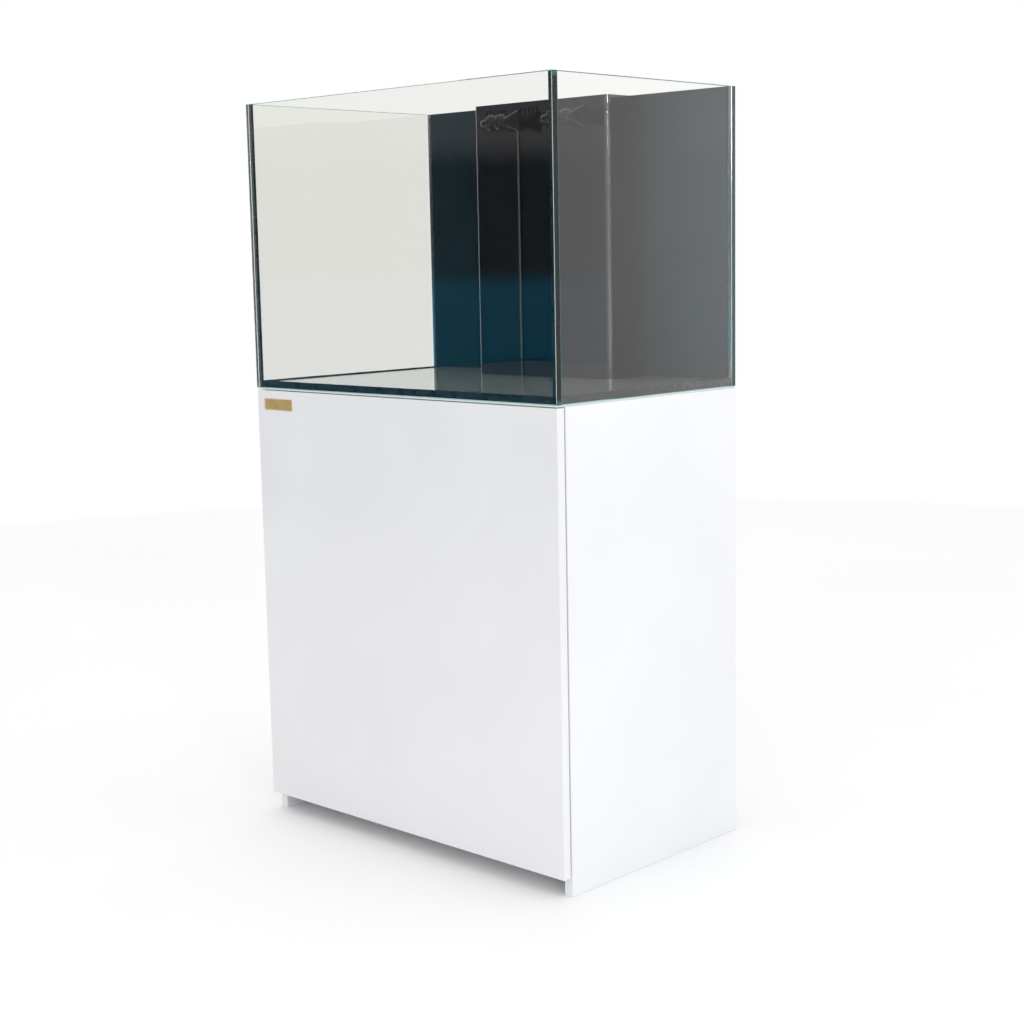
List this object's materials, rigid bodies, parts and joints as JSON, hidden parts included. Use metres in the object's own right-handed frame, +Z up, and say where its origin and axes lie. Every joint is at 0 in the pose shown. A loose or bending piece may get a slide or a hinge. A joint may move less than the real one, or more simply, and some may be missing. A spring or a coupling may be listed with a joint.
{
  "type": "aquarium on stand",
  "caption": "Rimless glass aquarium with a black rear overflow box, standing on a white one-door cabinet with a sump, return pump and plumbing inside.",
  "frame": {"origin": "on the floor, in the middle of the footprint", "axes": "+Z up, the door and the front pane face -Y, +X to the right of a person facing the door"},
  "size_m": [0.8, 0.5, 1.412],
  "materials": {
    "clear_glass": "clear polished float glass",
    "black_glass": "glass painted black on its back",
    "silicone": "black silicone, satin",
    "foam": "closed-cell foam",
    "black_acrylic": "polished black acrylic",
    "black_plastic": "moulded, satin",
    "rubber": "matte",
    "grey_pvc": "extruded pipe, satin",
    "dark_pvc": "moulded fittings, satin",
    "white_board": "board with a gloss white film",
    "white_door": "board with a gloss white film",
    "gold_plate": "brushed gold, satin",
    "nickel": "nickel plate",
    "steel": "zinc plate",
    "grey_plastic": "moulded",
    "white_plastic": "moulded",
    "clear_rubber": "clear soft plastic",
    "sump_glass": "clear float glass",
    "felt": "needle felt",
    "blue_grey_plastic": "moulded",
    "red_plastic": "moulded lever"
  },
  "bodies": {
    "stand": {"back_glass": "black_glass", "back_panel": "white_board", "bottom_glass": "clear_glass", "bulkhead_bodies": "black_plastic", "bulkhead_gaskets": "rubber", "bulkhead_nuts": "black_plastic", "cabinet_bottom": "white_board", "cabinet_top": "white_board", "cam_locks": "steel", "door_bumpers": "clear_rubber", "drain_pipes": "grey_pvc", "front_glass": "clear_glass", "front_rail": "white_board", "hinge_arms": "nickel", "hinge_screws": "steel", "latch_sleeve": "grey_plastic", "left_glass": "clear_glass", "left_side": "white_board", "levelling_mat": "foam", "nozzle_elbow_left": "black_plastic", "nozzle_elbow_right": "black_plastic", "outlet_nuts": "black_plastic", "overflow_box": "black_acrylic", "pipe_elbows": "dark_pvc", "pump_cage": "black_plastic", "pump_cradle": "rubber", "pump_motor": "blue_grey_plastic", "pump_volute": "black_plastic", "return_pipe": "grey_pvc", "return_riser": "grey_pvc", "right_glass": "clear_glass", "right_side": "white_board", "sock_tray": "black_acrylic", "standpipe_strainer": "black_plastic", "standpipes": "grey_pvc", "sump_baffles": "sump_glass", "sump_end_panes": "sump_glass", "sump_floor": "sump_glass", "sump_long_panes": "sump_glass", "tank_silicone": "silicone", "union_nuts": "dark_pvc", "valve_bodies": "dark_pvc", "valve_tails": "grey_pvc"},
    "door": {"door": "white_door", "badge_plate": "gold_plate", "hinge_cups": "nickel"},
    "latch_plunger": {"latch_plunger": "white_plastic"},
    "overflow_lid": {"overflow_lid": "black_acrylic"},
    "nozzle_link_left": {"nozzle_link_left": "black_plastic"},
    "nozzle_fan_left": {"nozzle_fan_left": "black_plastic"},
    "nozzle_link_right": {"nozzle_link_right": "black_plastic"},
    "nozzle_fan_right": {"nozzle_fan_right": "black_plastic"},
    "drain_valve_lever": {"drain_valve_lever": "red_plastic", "drain_valve_ball": "white_plastic"},
    "return_valve_lever": {"return_valve_lever": "red_plastic", "return_valve_ball": "white_plastic"},
    "filter_sock": {"filter_sock": "felt", "sock_ring": "white_plastic"},
    "pump_impeller": {"pump_impeller": "white_plastic"}
  },
  "joints": [
    {"name": "door_hinge", "type": "hinge", "parent": "stand", "child": "door", "pos_m": [-0.392, -0.2395, 0.447], "axis": [0, 0, -1], "range_deg": [0, 95]},
    {"name": "latch_push", "type": "slide", "parent": "stand", "child": "latch_plunger", "axis": [0, 1, 0], "range_m": [0, 0.003], "stiffness_N_per_m": 400, "springref_m": -0.004},
    {"name": "lid_lift", "type": "slide", "parent": "stand", "child": "overflow_lid", "axis": [0, 0, 1], "range_m": [0, 0.08]},
    {"name": "left_nozzle_swivel", "type": "hinge", "parent": "stand", "child": "nozzle_link_left", "pos_m": [-0.08, 0.11, 1.37], "axis": [0, 0, 1], "range_deg": [-18, 12]},
    {"name": "left_nozzle_tilt", "type": "hinge", "parent": "nozzle_link_left", "child": "nozzle_fan_left", "pos_m": [-0.056, 0.11, 1.37], "axis": [0, 1, 0], "range_deg": [-18, 18]},
    {"name": "right_nozzle_swivel", "type": "hinge", "parent": "stand", "child": "nozzle_link_right", "pos_m": [0.08, 0.11, 1.37], "axis": [0, 0, 1], "range_deg": [-18, 12]},
    {"name": "right_nozzle_tilt", "type": "hinge", "parent": "nozzle_link_right", "child": "nozzle_fan_right", "pos_m": [0.104, 0.11, 1.37], "axis": [0, 1, 0], "range_deg": [-18, 18]},
    {"name": "drain_valve_turn", "type": "hinge", "parent": "stand", "child": "drain_valve_lever", "pos_m": [-0.24, 0.02, 0.65], "axis": [0, 1, 0], "range_deg": [0, 90]},
    {"name": "return_valve_turn", "type": "hinge", "parent": "stand", "child": "return_valve_lever", "pos_m": [0.211, 0.02, 0.56], "axis": [0, 1, 0], "range_deg": [0, 90]},
    {"name": "sock_lift", "type": "slide", "parent": "stand", "child": "filter_sock", "axis": [0, 0, 1], "range_m": [0, 0.15]},
    {"name": "impeller_spin", "type": "hinge", "parent": "stand", "child": "pump_impeller", "pos_m": [0.204, 0.02, 0.122], "axis": [1, 0, 0], "continuous": true}
  ]
}
